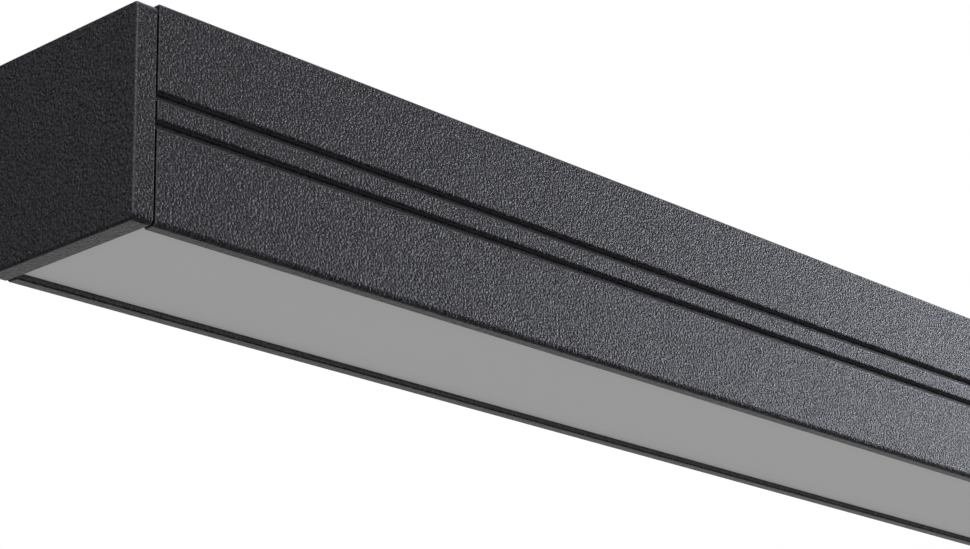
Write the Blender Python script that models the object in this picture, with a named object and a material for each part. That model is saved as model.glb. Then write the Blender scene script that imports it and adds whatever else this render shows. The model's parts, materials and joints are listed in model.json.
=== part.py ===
# LED strip batten: a ceiling luminaire built on a square aluminium extrusion.
# X runs along the length and Z is up. Heights are measured up from the lower rim of the body,
# and one empty hangs the whole luminaire from the origin, the middle of the ceiling plane.

import math

import bmesh
import bpy
from mathutils import Vector

MM = 0.001

# Whole luminaire
LENGTH = 600 * MM  # over both end caps
FIT = 0.3 * MM  # clearance between pieces that seat on or slide in each other
FILLET_STEPS = 4
FILLET_SHARE = 0.49  # the most of a side that a fillet may use up
SHARP_ANGLE = 35  # degrees between faces that meet in a hard edge
MERGE = 0.0001 * MM  # points closer than this are one
STRAIGHT = 1e-6  # turns smaller than this are no bend
ROUND_STEPS = 16  # sides of a turned piece

# Extruded body
BODY_WIDTH = 35 * MM
BODY_HEIGHT = 35 * MM
WALL = 2.65 * MM
EDGE_RADIUS = 0.78 * MM  # lower outer edges along the length
TOP_RADIUS = 0.5 * MM  # upper outer edges along the length
RIM_RADIUS = 0.25 * MM  # edges of the rims and of the top lips
WEB = 2.0 * MM
WEB_HEIGHT = 18.0 * MM  # middle of the web above the lower rim
GROOVE_SPACING = 4.55 * MM  # the two side grooves lie evenly above and below the web
GROOVE_HEIGHT = 1.25 * MM
GROOVE_DEPTH = 1.35 * MM
GROOVE_LIP_RADIUS = 0.35 * MM
GROOVE_FLOOR_RADIUS = 0.2 * MM
LIP = 1.9 * MM  # thickness of the in-turned top lips
LIP_REACH = 4.0 * MM
PORT = 3.6 * MM  # bore of the four ports that take the end cap pegs
PORT_WALL = 1.2 * MM
PORT_WRAP = 290  # degrees of the bore that are closed
PORT_STEPS = 18
SNAP_HEIGHT = 5.1 * MM  # middle of the groove that the diffuser beads snap into
SNAP_OPENING = 1.6 * MM
SNAP_DEPTH = 0.55 * MM
CHAMBER_RADIUS = 0.6 * MM

# End caps
END_CAP = 3.74 * MM
CAP_GAP = 0.48 * MM  # shadow gap between a cap and the body
CAP_DROP = 0.63 * MM  # the cap ends this far under the top of the body
CAP_CORNER = 0.9 * MM
CAP_EDGE = 0.4 * MM
PEG_LENGTH = 9 * MM
PEG_LEAD = 0.7 * MM  # chamfer on the peg tip

# Diffuser
DIFFUSER_RECESS = 0.85 * MM
DIFFUSER_PLATE = 1.5 * MM
DIFFUSER_LEG = 1.2 * MM
DIFFUSER_RISE = 5.4 * MM  # from the outer face to the top of the legs
DIFFUSER_EDGE = 0.15 * MM
BEAD_REACH = 0.25 * MM  # how far the beads reach behind the wall face

# Reflector tray and LED boards
TRAY_SHEET = 0.8 * MM
TRAY_END_GAP = 0.8 * MM  # between the tray and the grommet
TRAY_SIDE_GAP = 0.5 * MM
TRAY_SKIRT_GAP = 0.6 * MM  # between the skirts and what they point at
TRAY_BEND = 0.6 * MM
BOARD_THICKNESS = 1.5 * MM
BOARD_SIDE_GAP = 1.2 * MM
BOARD_END_GAP = 1.5 * MM
BOARD_SPLIT = 2.0 * MM  # between the two boards
BOARD_SCREW_INSET = 30 * MM
BOARD_SCREW_SIDE = 5.0 * MM
LED_LENGTH = 3.5 * MM
LED_WIDTH = 2.8 * MM
LED_HEIGHT = 0.75 * MM
LED_PITCH = 8.0 * MM
LED_END_MARGIN = 14 * MM

# Board connectors and low-voltage leads
CONNECTOR_LENGTH = 9 * MM
CONNECTOR_WIDTH = 7.2 * MM
CONNECTOR_HEIGHT = 3.6 * MM
CONNECTOR_SLOPE = 0.9 * MM
CONNECTOR_INSET = 1.0 * MM  # from the end of the board
CONNECTOR_ENTRY = 5 * MM
LEAD = 1.5 * MM
LEAD_SPACING = 2.4 * MM
LEAD_LEAN = 0.73  # where the leads cross the grommet, as a share of the radius of their turn
LEAD_TURN_STEPS = 6
GROMMET_INSET = 7.5 * MM  # middle of the grommet from the end of the body
GROMMET_BORE = 6.0 * MM
GROMMET_NECK = 7.4 * MM
GROMMET_FLANGE = 10 * MM
GROMMET_LIP = 1.0 * MM

# Screws
SCREW = 3.0 * MM
SCREW_HEAD = 5.4 * MM
SCREW_HEAD_HEIGHT = 1.9 * MM
SCREW_HEAD_EDGE = 0.7 * MM  # chamfer round the head
SCREW_CHAMFER = 0.5 * MM  # on the tip

# Ceiling clips
CLIP_SHEET = 0.8 * MM
CLIP_LENGTH = 40 * MM
CLIP_FOOT = 3.0 * MM
CLIP_STAND = 1.2 * MM  # the clips stand this far above the body
CLIP_BEND = 0.5 * MM
CLIP_X = 180 * MM
CLIP_SLOT_LENGTH = 12 * MM
CLIP_SLOT_WIDTH = 4.5 * MM

# Driver
DRIVER_X = -70 * MM
DRIVER_LENGTH = 160 * MM
DRIVER_SHEET = 0.8 * MM
DRIVER_SIDE_GAP = 0.5 * MM
DRIVER_HEADROOM = 1.0 * MM  # under the feet of the ceiling clips
DRIVER_WALL = 5.0 * MM  # height of the base walls
DRIVER_BEND = 0.6 * MM
DRIVER_LUG = 9 * MM
DRIVER_LUG_WIDTH = 10 * MM
DRIVER_MOUTH = 6.5 * MM  # height of the lead openings in the cover ends
POST = 3.0 * MM
POST_HEIGHT = 1.2 * MM
POST_INSET = 8 * MM
CIRCUIT_BOARD = 1.2 * MM
CIRCUIT_BOARD_GAP = 0.5 * MM
PART_HEADROOM = 0.5 * MM  # between the driver's inner parts and its cover
TRANSFORMER_X = -6 * MM
TRANSFORMER_LENGTH = 20 * MM
TRANSFORMER_WIDTH = 13 * MM
TRANSFORMER_YOKE = 4 * MM
TRANSFORMER_WAIST = 0.8 * MM  # how far the winding lies behind the yokes
CAPACITOR_INSET = 30 * MM  # its middle from the left end of the driver
CAPACITOR_LENGTH = 16 * MM
CHOKE_INSET = 40 * MM  # its middle from the right end of the driver
CHOKE_WIDTH = 9 * MM
CHOKE_CORE = 6 * MM
CHOKE_RIM = 1.2 * MM

# Mains terminal block, earth point and mains leads
EARTH_DISTANCE = 23 * MM  # from the end of the driver's lug
EARTH_TAG = 7.5 * MM
EARTH_TAG_SHEET = 0.8 * MM
EARTH_BARREL = 7 * MM
TERMINAL_DISTANCE = 33 * MM  # from the earth screw
TERMINAL_LENGTH = 20 * MM
TERMINAL_SHOULDER = 7.0 * MM
TERMINAL_SLOPE = 2.0 * MM
TERMINAL_FLANGE = 7.5 * MM
TERMINAL_FLANGE_HEIGHT = 2.5 * MM
TERMINAL_ENTRY = 7 * MM
ENTRY_HEIGHT = 3.4 * MM  # of the lead entries above the foot of the block
POLE_SPACING = 6.2 * MM
BUTTON_LENGTH = 3.6 * MM
BUTTON_WIDTH = 3.8 * MM
BUTTON_HEIGHT = 4.2 * MM
BUTTON_PROUD = 1.2 * MM
BUTTON_TRAVEL = 0.9 * MM
BUTTON_EDGE = 0.4 * MM
MAINS_LEAD = 2.0 * MM
MAINS_LEAD_SPACING = 6.0 * MM  # where the two mains leads enter the driver
ROUTE_STEP = 3  # points along a lead, in lead diameters

# Places that follow from the sizes above
half_width = BODY_WIDTH / 2
inner_side = half_width - WALL
body_half = LENGTH / 2 - END_CAP - CAP_GAP
web_low = WEB_HEIGHT - WEB / 2
web_high = WEB_HEIGHT + WEB / 2
port_side = inner_side - PORT / 2
arm_side = inner_side - PORT - PORT_WALL
lip_edge = inner_side - LIP_REACH
ceiling = BODY_HEIGHT + CLIP_STAND
foot_low = BODY_HEIGHT - LIP - FIT - CLIP_SHEET
screw_hole = SCREW / 2 + FIT

leg_top = DIFFUSER_RECESS + DIFFUSER_RISE
grommet_x = body_half - GROMMET_INSET
tray_half = grommet_x - GROMMET_FLANGE / 2 - TRAY_END_GAP
tray_side = arm_side - TRAY_SIDE_GAP - TRAY_SHEET / 2
tray_mid = web_low - FIT - TRAY_SHEET / 2
board_top = tray_mid - TRAY_SHEET / 2 - FIT
board_low = board_top - BOARD_THICKNESS
board_half_width = tray_side - TRAY_SHEET / 2 - BOARD_SIDE_GAP
board_length = tray_half - BOARD_END_GAP - BOARD_SPLIT / 2
board_x = (board_length + BOARD_SPLIT) / 2
board_screws = [
    (-board_length / 2 + BOARD_SCREW_INSET, BOARD_SCREW_SIDE),
    (0, -BOARD_SCREW_SIDE),
    (board_length / 2 - BOARD_SCREW_INSET, BOARD_SCREW_SIDE),
]
connector_top = board_low - FIT
lead_low = connector_top - CONNECTOR_HEIGHT / 2
lead_high = web_high + FIT + LEAD / 2

driver_low = web_high + FIT
driver_top = foot_low - DRIVER_HEADROOM
driver_half_width = arm_side - DRIVER_SIDE_GAP
driver_floor = driver_low + DRIVER_SHEET
base_half_width = driver_half_width - DRIVER_SHEET - FIT
base_half = DRIVER_LENGTH / 2 - DRIVER_SHEET - FIT
circuit_low = driver_floor + POST_HEIGHT + FIT
circuit_top = circuit_low + CIRCUIT_BOARD
circuit_half_width = base_half_width - DRIVER_SHEET - CIRCUIT_BOARD_GAP
part_low = circuit_top + FIT
part_height = driver_top - DRIVER_SHEET - PART_HEADROOM - part_low
driver_left = DRIVER_X - DRIVER_LENGTH / 2
driver_right = DRIVER_X + DRIVER_LENGTH / 2
driver_screw_seat = driver_floor + FIT

earth_x = driver_right + DRIVER_LUG + EARTH_DISTANCE
terminal_x = earth_x + TERMINAL_DISTANCE
terminal_low = web_high + FIT
terminal_top = foot_low - DRIVER_HEADROOM - BUTTON_PROUD
terminal_screw_x = terminal_x + TERMINAL_LENGTH / 2 + TERMINAL_FLANGE / 2
entry_z = terminal_low + ENTRY_HEIGHT
button_well = BUTTON_HEIGHT - BUTTON_PROUD + BUTTON_TRAVEL + FIT
poles = {"live": POLE_SPACING, "earth": 0.0, "neutral": -POLE_SPACING}

# Colour (linear), roughness and metallic of each finish
FINISHES = {
    "textured_black": ((0.022, 0.022, 0.024), 0.55, 0.0),
    "opal_acrylic": ((0.62, 0.62, 0.61), 0.38, 0.0),
    "white_sheet": ((0.80, 0.80, 0.78), 0.45, 0.0),
    "white_board": ((0.76, 0.77, 0.75), 0.40, 0.0),
    "zinc_steel": ((0.50, 0.51, 0.52), 0.38, 1.0),
    "spring_steel": ((0.42, 0.42, 0.43), 0.32, 1.0),
    "tinned_copper": ((0.60, 0.58, 0.54), 0.30, 1.0),
    "green_board": ((0.02, 0.12, 0.06), 0.45, 0.0),
    "ferrite": ((0.03, 0.03, 0.032), 0.60, 0.0),
    "sleeve_blue": ((0.02, 0.03, 0.10), 0.40, 0.0),
    "white_nylon": ((0.70, 0.70, 0.67), 0.50, 0.0),
    "grey_nylon": ((0.30, 0.31, 0.32), 0.50, 0.0),
    "orange_nylon": ((0.70, 0.20, 0.03), 0.45, 0.0),
    "black_rubber": ((0.02, 0.02, 0.02), 0.75, 0.0),
    "brown_lead": ((0.12, 0.05, 0.02), 0.45, 0.0),
    "blue_lead": ((0.03, 0.10, 0.35), 0.45, 0.0),
    "green_lead": ((0.10, 0.35, 0.05), 0.45, 0.0),
    "red_lead": ((0.45, 0.02, 0.02), 0.45, 0.0),
    "black_lead": ((0.02, 0.02, 0.02), 0.45, 0.0),
}


def finish(name):
    material = bpy.data.materials.get(name)
    if material is None:
        colour, roughness, metallic = FINISHES[name]
        material = bpy.data.materials.new(name)
        material.use_nodes = True
        shader = material.node_tree.nodes["Principled BSDF"]
        shader.inputs["Base Color"].default_value = (*colour, 1)
        shader.inputs["Roughness"].default_value = roughness
        shader.inputs["Metallic"].default_value = metallic
        material.diffuse_color = (*colour, 1)
    return material


# Outlines: corners are (across, up, radius), and a radius of 0 leaves a corner sharp

def rounded(corners):
    points = []
    for index, (across, up, radius) in enumerate(corners):
        here = Vector((across, up))
        if radius == 0:
            points.append(here)
            continue
        back = Vector(corners[index - 1][:2]) - here
        ahead = Vector(corners[(index + 1) % len(corners)][:2]) - here
        half = back.angle(ahead) / 2
        reach = min(radius / math.tan(half), FILLET_SHARE * back.length, FILLET_SHARE * ahead.length)
        toward_centre = (back.normalized() + ahead.normalized()).normalized()
        centre = here + toward_centre * reach / math.cos(half)
        first = here + back.normalized() * reach - centre
        last = here + ahead.normalized() * reach - centre
        start = math.atan2(first.y, first.x)
        swing = math.remainder(math.atan2(last.y, last.x) - start, math.tau)
        for step in range(FILLET_STEPS + 1):
            angle = start + swing * step / FILLET_STEPS
            points.append(centre + first.length * Vector((math.cos(angle), math.sin(angle))))
    return points


def arc(across, up, radius, start, end, steps):
    corners = []
    for step in range(steps + 1):
        angle = math.radians(start + (end - start) * step / steps)
        corners.append((across + radius * math.cos(angle), up + radius * math.sin(angle), 0))
    return corners


def mirrored(right_half):
    return right_half + [(-across, up, radius) for across, up, radius in reversed(right_half)]


def sheet(line, thickness, bend):
    # A bent sheet: the line runs through the middle of its thickness
    points = [Vector(point) for point in line]
    sides = ([], [])
    for index, point in enumerate(points):
        before = (point - points[index - 1]).normalized() if index else None
        after = (points[index + 1] - point).normalized() if index < len(points) - 1 else None
        before = before or after
        after = after or before
        normal = Vector((-before.y - after.y, before.x + after.x)).normalized()
        mitre = normal * thickness / 2 / normal.dot(Vector((-after.y, after.x)))
        turn = before.cross(after)
        for sign, side in zip((1, -1), sides):
            inner = turn * sign > 0
            radius = 0 if abs(turn) < STRAIGHT else bend if inner else bend + thickness
            side.append((*(point + sign * mitre), radius))
    return sides[0] + sides[1][::-1]


# Solids

def prism(corners, start, end, axis="X"):
    place = {
        "X": lambda point, along: (along, point.x, point.y),
        "Y": lambda point, along: (point.x, along, point.y),
        "Z": lambda point, along: (point.x, point.y, along),
    }[axis]
    outline = rounded(corners)
    return loft([[place(point, along) for point in outline] for along in (start, end)])


def loft(rings):
    mesh = bmesh.new()
    loops = [[mesh.verts.new(point) for point in ring] for ring in rings]
    for lower, upper in zip(loops, loops[1:]):
        for index in range(len(lower)):
            mesh.faces.new((lower[index - 1], lower[index], upper[index], upper[index - 1]))
    mesh.faces.new(loops[0])
    mesh.faces.new(loops[-1])
    bmesh.ops.recalc_face_normals(mesh, faces=mesh.faces)
    return mesh


def box(low, high):
    corners = [(low[0], low[1], 0), (high[0], low[1], 0), (high[0], high[1], 0), (low[0], high[1], 0)]
    return prism(corners, low[2], high[2], "Z")


def turned(profile, closed=False):
    # The profile is (radius, height) pairs about the Z axis
    mesh = bmesh.new()
    verts = [mesh.verts.new((radius, 0, height)) for radius, height in profile]
    for index in range(0 if closed else 1, len(verts)):
        mesh.edges.new((verts[index - 1], verts[index]))
    bmesh.ops.spin(
        mesh, geom=mesh.verts[:] + mesh.edges[:], axis=(0, 0, 1), cent=(0, 0, 0),
        angle=math.tau, steps=ROUND_STEPS,
    )
    bmesh.ops.remove_doubles(mesh, verts=mesh.verts, dist=MERGE)
    bmesh.ops.recalc_face_normals(mesh, faces=mesh.faces)
    return mesh


def cylinder(radius, start, end, axis="Z", at=(0, 0)):
    # "at" gives the other two coordinates of the cylinder's axis, in X, Y, Z order
    return prism(arc(*at, radius, 0, 360 * (1 - 1 / ROUND_STEPS), ROUND_STEPS - 1), start, end, axis)


def together(meshes):
    whole = bmesh.new()
    for mesh in meshes:
        copy = bpy.data.meshes.new("shape")
        mesh.to_mesh(copy)
        mesh.free()
        whole.from_mesh(copy)
        bpy.data.meshes.remove(copy)
    return whole


def add(name, mesh, finish_name=None, at=(0, 0, 0), turn=0.0, tip=0.0):
    data = bpy.data.meshes.new(name)
    mesh.to_mesh(data)
    mesh.free()
    data.shade_smooth()
    data.set_sharp_from_angle(angle=math.radians(SHARP_ANGLE))
    piece = bpy.data.objects.new(name, data)
    piece.location = at
    piece.rotation_euler = (tip, 0, turn)
    piece.parent = hanger
    bpy.context.scene.collection.objects.link(piece)
    if finish_name:
        data.materials.append(finish(finish_name))
    return piece


def combine(piece, mesh, operation):
    # The helper shares the piece's place, so both are drawn in the same coordinates
    label = piece.name + "_" + operation.lower()
    helper = add(label, mesh, at=piece.location, turn=piece.rotation_euler.z, tip=piece.rotation_euler.x)
    helper.hide_render = True
    helper.display_type = "WIRE"
    modifier = piece.modifiers.new(operation.title(), "BOOLEAN")
    modifier.operation = operation
    modifier.object = helper
    modifier.solver = "EXACT"


def cut(piece, *meshes):
    combine(piece, together(meshes), "DIFFERENCE")


def fuse(piece, *meshes):
    combine(piece, together(meshes), "UNION")


# Extruded body: one outline carries every seat

def groove(height):
    floor = half_width - GROOVE_DEPTH
    low, high = height - GROOVE_HEIGHT / 2, height + GROOVE_HEIGHT / 2
    return [
        (half_width, low, GROOVE_LIP_RADIUS),
        (floor, low, GROOVE_FLOOR_RADIUS),
        (floor, high, GROOVE_FLOOR_RADIUS),
        (half_width, high, GROOVE_LIP_RADIUS),
    ]


def port(web_face, direction):
    # From the web out to the wall, below the web (direction -1) or above it (1)
    centre = web_face + direction * PORT / 2
    outer = PORT / 2 + PORT_WALL
    tip = 180 - direction * (PORT_WRAP - 180)
    wrap = arc(port_side, centre, outer, 180, tip, PORT_STEPS // 2)
    bore = arc(port_side, centre, PORT / 2, tip, 180 + direction * 180, PORT_STEPS)
    return [(arm_side, web_face, 0)] + wrap + bore


def body_outline():
    snap_low = SNAP_HEIGHT - SNAP_OPENING / 2
    snap_high = SNAP_HEIGHT + SNAP_OPENING / 2
    snap_floor = inner_side + SNAP_DEPTH
    right_half = [
        *port(web_low, -1),
        (inner_side, snap_high, 0),
        (snap_floor, snap_high, 0),
        (snap_floor, snap_low + SNAP_DEPTH, 0),
        (inner_side, snap_low, 0),
        (inner_side, 0, RIM_RADIUS),
        (half_width, 0, EDGE_RADIUS),
        *groove(WEB_HEIGHT - GROOVE_SPACING / 2),
        *groove(WEB_HEIGHT + GROOVE_SPACING / 2),
        (half_width, BODY_HEIGHT, TOP_RADIUS),
        (lip_edge, BODY_HEIGHT, RIM_RADIUS),
        (lip_edge, BODY_HEIGHT - LIP, RIM_RADIUS),
        (inner_side, BODY_HEIGHT - LIP, CHAMBER_RADIUS),
        *reversed(port(web_high, 1)),
    ]
    return mirrored(right_half)


def web_hole(x, y, radius):
    return cylinder(radius, web_low - WEB, web_high + WEB, "Z", (x, y))


def make_body():
    body = add("body", prism(body_outline(), -body_half, body_half), "textured_black")
    holes = [web_hole(-grommet_x, 0, GROMMET_NECK / 2 + FIT)]
    for side in (-1, 1):
        for x, y in board_screws:
            holes.append(web_hole(side * board_x + x, y, screw_hole))
        holes.append(web_hole(DRIVER_X + side * (DRIVER_LENGTH + DRIVER_LUG) / 2, 0, screw_hole))
    holes.append(web_hole(earth_x, 0, screw_hole))
    holes.append(web_hole(terminal_screw_x, 0, screw_hole))
    cut(body, *holes)


# End caps: a softened plate with four pegs that push into the ports

def cap_ring(along, inset):
    top = BODY_HEIGHT - CAP_DROP - inset
    side = half_width - inset
    radius = CAP_CORNER - inset
    corners = [(side, inset, radius), (side, top, radius), (-side, top, radius), (-side, inset, radius)]
    return [(along, point.x, point.y) for point in rounded(corners)]


def peg(side, height):
    radius = PORT / 2 - FIT
    tip = arc(side, height, radius - PEG_LEAD, 0, 360 * (1 - 1 / ROUND_STEPS), ROUND_STEPS - 1)
    shank = arc(side, height, radius, 0, 360 * (1 - 1 / ROUND_STEPS), ROUND_STEPS - 1)
    rings = [(END_CAP / 2, shank), (PEG_LEAD - PEG_LENGTH, shank), (-PEG_LENGTH, tip)]
    return loft([[(along, across, up) for across, up, _ in ring] for along, ring in rings])


def make_end_cap(name, side):
    rings = [cap_ring(0, 0)]
    for step in range(FILLET_STEPS + 1):
        angle = math.pi / 2 * step / FILLET_STEPS
        along = END_CAP - CAP_EDGE * (1 - math.sin(angle))
        rings.append(cap_ring(along, CAP_EDGE * (1 - math.cos(angle))))
    turn = 0 if side > 0 else math.pi
    cap = add(name, loft(rings), "textured_black", (side * (body_half + CAP_GAP), 0, 0), turn)
    heights = (web_low - PORT / 2, web_high + PORT / 2)
    fuse(cap, *(peg(across * port_side, height) for across in (-1, 1) for height in heights))


# Diffuser: a flat plate with two snap legs

def make_diffuser():
    side = inner_side - FIT
    inside = side - DIFFUSER_LEG
    face = DIFFUSER_RECESS
    bead_low = SNAP_HEIGHT - SNAP_OPENING / 2 + FIT
    bead_high = SNAP_HEIGHT + SNAP_OPENING / 2 - FIT
    bead_tip = inner_side + BEAD_REACH
    right_half = [
        (side, face, DIFFUSER_EDGE),
        (side, bead_low, 0),
        (bead_tip, (bead_low + bead_high) / 2, 0),
        (bead_tip, bead_high, 0),
        (side, bead_high, 0),
        (side, leg_top, DIFFUSER_EDGE),
        (inside, leg_top, DIFFUSER_EDGE),
        (inside, face + DIFFUSER_PLATE, DIFFUSER_LEG / 2),
    ]
    half = body_half - FIT
    add("diffuser", prism(mirrored(right_half), -half, half), "opal_acrylic")


# Reflector tray: a white bent sheet under the web, with skirts that reach for the diffuser legs

def make_reflector_tray():
    drop = web_low - PORT - PORT_WALL - TRAY_SKIRT_GAP
    skirt_low = leg_top + TRAY_SKIRT_GAP + TRAY_SHEET / 2
    skirt_side = min(tray_side + drop - skirt_low, inner_side - TRAY_SKIRT_GAP - TRAY_SHEET / 2)
    right = [(tray_side, tray_mid), (tray_side, drop), (skirt_side, skirt_low)]
    left = [(-across, up) for across, up in reversed(right)]
    outline = sheet(left + right, TRAY_SHEET, TRAY_BEND)
    tray = add("reflector_tray", prism(outline, -tray_half, tray_half), "white_sheet")
    low, high = tray_mid - TRAY_SHEET, tray_mid + TRAY_SHEET
    cut(tray, *(
        cylinder(screw_hole, low, high, "Z", (side * board_x + x, y))
        for side in (-1, 1)
        for x, y in board_screws
    ))


# LED boards, drawn about the middle of the board's upper face

def make_led_board(name, x):
    half, side, low = board_length / 2, board_half_width, -BOARD_THICKNESS
    board = add(name, box((-half, -side, low), (half, side, 0)), "white_board", (x, 0, board_top))
    cut(board, *(
        cylinder(screw_hole, low - BOARD_THICKNESS, BOARD_THICKNESS, "Z", place) for place in board_screws
    ))
    count = int((board_length - 2 * LED_END_MARGIN) / LED_PITCH)
    packages = []
    for index in range(count + 1):
        along = (index - count / 2) * LED_PITCH
        packages.append(box(
            (along - LED_LENGTH / 2, -LED_WIDTH / 2, low - LED_HEIGHT),
            (along + LED_LENGTH / 2, LED_WIDTH / 2, low / 2),
        ))
    fuse(board, *packages)


# Board connectors, drawn with their lead entries towards -X

def make_connector(name, x, turn):
    half = CONNECTOR_LENGTH / 2
    slope = CONNECTOR_SLOPE
    corners = [
        (-half, 0, 0),
        (-half, slope - CONNECTOR_HEIGHT, 0),
        (slope - half, -CONNECTOR_HEIGHT, 0),
        (half, -CONNECTOR_HEIGHT, slope),
        (half, 0, 0),
    ]
    mesh = prism(corners, -CONNECTOR_WIDTH / 2, CONNECTOR_WIDTH / 2, "Y")
    connector = add(name, mesh, "white_nylon", (x, 0, connector_top), turn)
    radius = LEAD / 2 + FIT
    cut(connector, *(
        cylinder(radius, -CONNECTOR_LENGTH, CONNECTOR_ENTRY - half, "X", (y, -CONNECTOR_HEIGHT / 2))
        for y in (-LEAD_SPACING / 2, LEAD_SPACING / 2)
    ))


# Screws, drawn with the seat of the head at the origin and the shank down

def make_screw(name, at, length, tip=0.0):
    head, shank = SCREW_HEAD / 2, SCREW / 2
    profile = [
        (0, SCREW_HEAD_HEIGHT),
        (head - SCREW_HEAD_EDGE, SCREW_HEAD_HEIGHT),
        (head, SCREW_HEAD_HEIGHT - SCREW_HEAD_EDGE),
        (head, 0),
        (shank, 0),
        (shank, SCREW_CHAMFER - length),
        (shank - SCREW_CHAMFER, -length),
        (0, -length),
    ]
    add(name, turned(profile), "zinc_steel", at, tip=tip)


def make_screws():
    seat = board_low - FIT
    number = 0
    for side in (-1, 1):
        for x, y in board_screws:
            number += 1
            at = (side * board_x + x, y, seat)
            make_screw(f"board_screw_{number}", at, web_high - FIT - seat, math.pi)
    for name, side in (("driver_screw_left", -1), ("driver_screw_right", 1)):
        at = (DRIVER_X + side * (DRIVER_LENGTH + DRIVER_LUG) / 2, 0, driver_screw_seat)
        make_screw(name, at, driver_screw_seat - web_low - FIT)
    tag_seat = web_high + FIT + EARTH_TAG_SHEET + FIT
    make_screw("earth_screw", (earth_x, 0, tag_seat), tag_seat - web_low - FIT)
    flange_seat = terminal_low + TERMINAL_FLANGE_HEIGHT + FIT
    make_screw("terminal_screw", (terminal_screw_x, 0, flange_seat), flange_seat - web_low - FIT)


# Grommet in the web, where the leads pass to the LED side

def make_grommet():
    bore, neck, flange = GROMMET_BORE / 2, GROMMET_NECK / 2, GROMMET_FLANGE / 2
    low, high = web_low - FIT, web_high + FIT
    profile = [
        (bore, high + GROMMET_LIP),
        (bore, low - GROMMET_LIP),
        (flange - GROMMET_LIP / 2, low - GROMMET_LIP),
        (flange, low),
        (neck, low),
        (neck, high),
        (flange, high),
        (flange - GROMMET_LIP / 2, high + GROMMET_LIP),
    ]
    add("web_grommet", turned(profile, closed=True), "black_rubber", (-grommet_x, 0, 0))


# Ceiling clips: a top-hat spring sheet whose feet hook under the lips, drawn about its own middle

def make_ceiling_clip(name, x):
    leg = lip_edge - FIT - CLIP_SHEET / 2
    foot = foot_low + CLIP_SHEET / 2
    plate = ceiling - CLIP_SHEET / 2
    right = [(leg, plate), (leg, foot), (leg + CLIP_FOOT, foot)]
    left = [(-across, up) for across, up in reversed(right)]
    mesh = prism(sheet(left + right, CLIP_SHEET, CLIP_BEND), -CLIP_LENGTH / 2, CLIP_LENGTH / 2)
    clip = add(name, mesh, "spring_steel", (x, 0, 0))
    radius = CLIP_SLOT_WIDTH / 2
    middle = CLIP_SLOT_LENGTH / 2 - radius
    right_end = arc(middle, 0, radius, -90, 90, ROUND_STEPS // 2)
    left_end = arc(-middle, 0, radius, 90, 270, ROUND_STEPS // 2)
    slot = right_end + left_end
    cut(clip, prism(slot, plate - CLIP_SHEET, plate + CLIP_SHEET, "Z"))


# Driver: a bent base with lugs and posts, a cover with lead openings, and the circuit between them

def make_driver_base():
    floor = driver_low + DRIVER_SHEET / 2
    side = base_half_width - DRIVER_SHEET / 2
    line = [(-side, floor + DRIVER_WALL), (-side, floor), (side, floor), (side, floor + DRIVER_WALL)]
    reach = DRIVER_LENGTH / 2 + DRIVER_LUG
    mesh = prism(sheet(line, DRIVER_SHEET, DRIVER_BEND), -reach, reach)
    base = add("driver_base", mesh, "zinc_steel", (DRIVER_X, 0, 0))
    high = floor + 2 * DRIVER_WALL
    low = driver_low - DRIVER_SHEET
    cutters = []
    for end in (-1, 1):
        near, far = sorted((end * base_half, end * (reach + DRIVER_LUG)))
        for y in (-1, 1):
            lug, past = sorted((y * DRIVER_LUG_WIDTH / 2, y * BODY_WIDTH))
            cutters.append(box((near, lug, low), (far, past, high)))
        hole_x = end * (DRIVER_LENGTH + DRIVER_LUG) / 2
        cutters.append(cylinder(screw_hole, low, high, "Z", (hole_x, 0)))
    cut(base, *cutters)
    post_x = base_half - POST_INSET
    post_y = circuit_half_width - POST / 2
    fuse(base, *(
        cylinder(POST / 2, floor, driver_floor + POST_HEIGHT, "Z", (x, y))
        for x in (-post_x, post_x)
        for y in (-post_y, post_y)
    ))


def make_driver_cover():
    low = driver_low + FIT
    outer, inner = driver_half_width, driver_half_width - DRIVER_SHEET
    half = DRIVER_LENGTH / 2
    under = driver_top - DRIVER_SHEET
    shell = [
        (outer, low, 0),
        (outer, driver_top, DRIVER_BEND + DRIVER_SHEET),
        (-outer, driver_top, DRIVER_BEND + DRIVER_SHEET),
        (-outer, low, 0),
    ]
    space = [
        (inner, low - DRIVER_SHEET, 0),
        (inner, under, DRIVER_BEND),
        (-inner, under, DRIVER_BEND),
        (-inner, low - DRIVER_SHEET, 0),
    ]
    cover = add("driver_cover", prism(shell, -half, half), "zinc_steel", (DRIVER_X, 0, 0))
    cut(cover, prism(space, DRIVER_SHEET - half, half - DRIVER_SHEET))
    mouth = DRIVER_LUG_WIDTH / 2 + FIT
    mouths = []
    for end in (-half, half):
        near, far = end - 2 * DRIVER_SHEET, end + 2 * DRIVER_SHEET
        mouths.append(box((near, -mouth, low - DRIVER_SHEET), (far, mouth, low + DRIVER_MOUTH)))
    cut(cover, *mouths)


def make_driver_circuit():
    half, side = base_half - FIT, circuit_half_width
    mesh = box((-half, -side, circuit_low), (half, side, circuit_top))
    add("driver_circuit_board", mesh, "green_board", (DRIVER_X, 0, 0))
    make_transformer()
    radius = part_height / 2
    can = cylinder(radius, -CAPACITOR_LENGTH / 2, CAPACITOR_LENGTH / 2, "X")
    add("driver_capacitor", can, "sleeve_blue", (driver_left + CAPACITOR_INSET, 0, part_low + radius))
    reel, core, rim = CHOKE_WIDTH / 2, CHOKE_CORE / 2, CHOKE_RIM
    drum = [
        (0, part_height), (reel, part_height), (reel, part_height - rim), (core, part_height - rim),
        (core, rim), (reel, rim), (reel, 0), (0, 0),
    ]
    add("driver_choke", turned(drum), "ferrite", (driver_right - CHOKE_INSET, 0, part_low))


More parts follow.
